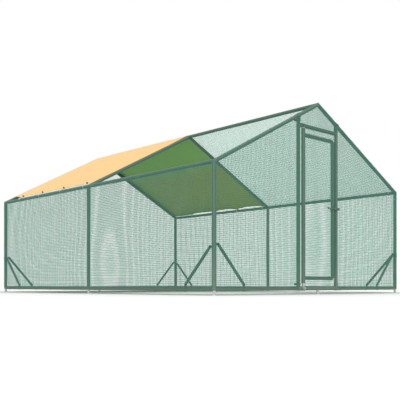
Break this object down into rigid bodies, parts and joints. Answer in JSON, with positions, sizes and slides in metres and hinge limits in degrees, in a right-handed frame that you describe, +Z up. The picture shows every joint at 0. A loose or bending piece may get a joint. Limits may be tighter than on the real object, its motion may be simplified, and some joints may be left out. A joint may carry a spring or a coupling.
{
  "type": "walk-in chicken cage",
  "caption": "Walk-in poultry cage: bolted steel tube frame with gable roof, wire net walls, hinged door with slide bolt, and a cover tied over the back bay.",
  "frame": {"origin": "middle of the floor area, on the floor under the feet", "axes": "+X across the gable to the right as seen from outside the door, +Y from the door gable to the back gable, +Z up"},
  "size_m": [3.0106, 4.0272, 1.9635],
  "materials": {
    "frame_paint": "grey-green powder coat, semi gloss",
    "net_coat": "green coated wire",
    "galvanised": "galvanised, bare",
    "screw_zinc": "zinc plated",
    "black_cap": "matt black",
    "foot_plastic": "light grey, matt",
    "bush_nylon": "natural white, matt",
    "cover_sheet": "coated woven sheet, pale orange outside and green underneath",
    "eyelet_brass": "dull brass",
    "tie_plastic": "white, matt"
  },
  "bodies": {
    "frame": {"base_corner_connectors": "frame_paint", "base_coupler_connectors": "frame_paint", "base_rail_back_left": "frame_paint", "base_rail_back_right": "frame_paint", "base_rail_front_left": "frame_paint", "base_rail_front_right": "frame_paint", "base_rail_left_back": "frame_paint", "base_rail_left_front": "frame_paint", "base_rail_right_back": "frame_paint", "base_rail_right_front": "frame_paint", "base_tee_connectors": "frame_paint", "brace_clamps": "frame_paint", "clamp_bolts": "black_cap", "corner_braces": "frame_paint", "corner_post_back_left": "frame_paint", "corner_post_back_right": "frame_paint", "corner_post_front_left": "frame_paint", "corner_post_front_right": "frame_paint", "cover_eyelets": "eyelet_brass", "cover_ties": "tie_plastic", "door_header": "frame_paint", "door_post_left": "frame_paint", "door_post_right": "frame_paint", "door_post_tees": "frame_paint", "eave_connectors": "frame_paint", "eave_rail_left_back": "frame_paint", "eave_rail_left_front": "frame_paint", "eave_rail_right_back": "frame_paint", "eave_rail_right_front": "frame_paint", "feet": "foot_plastic", "frame_screws": "screw_zinc", "hinge_pin_lower": "galvanised", "hinge_pin_upper": "frame_paint", "latch_keeper": "frame_paint", "net_back": "net_coat", "net_front_left": "net_coat", "net_front_right": "net_coat", "net_roof_right": "net_coat", "net_side_left": "net_coat", "net_side_right": "net_coat", "net_transom": "net_coat", "rafter_back_left": "frame_paint", "rafter_back_right": "frame_paint", "rafter_front_left": "frame_paint", "rafter_front_right": "frame_paint", "rafter_middle_left": "frame_paint", "rafter_middle_right": "frame_paint", "ridge_connectors": "frame_paint", "ridge_tube_back": "frame_paint", "ridge_tube_front": "frame_paint", "roof_cover": "cover_sheet", "side_post_middle_left": "frame_paint", "side_post_middle_right": "frame_paint"},
    "door": {"door_hinge_stile": "frame_paint", "door_bow": "frame_paint", "hinge_bushes": "bush_nylon", "door_net": "net_coat", "latch_guide": "frame_paint"},
    "latch": {"latch_rod": "frame_paint", "latch_knobs": "black_cap"}
  },
  "joints": [
    {"name": "door_swing", "type": "hinge", "parent": "frame", "child": "door", "pos_m": [-0.24, -1.981, 0], "axis": [0, 0, -1], "range_deg": [0, 120]},
    {"name": "latch_slide", "type": "slide", "parent": "door", "child": "latch", "axis": [1, 0, 0], "range_m": [0, 0.045]}
  ]
}
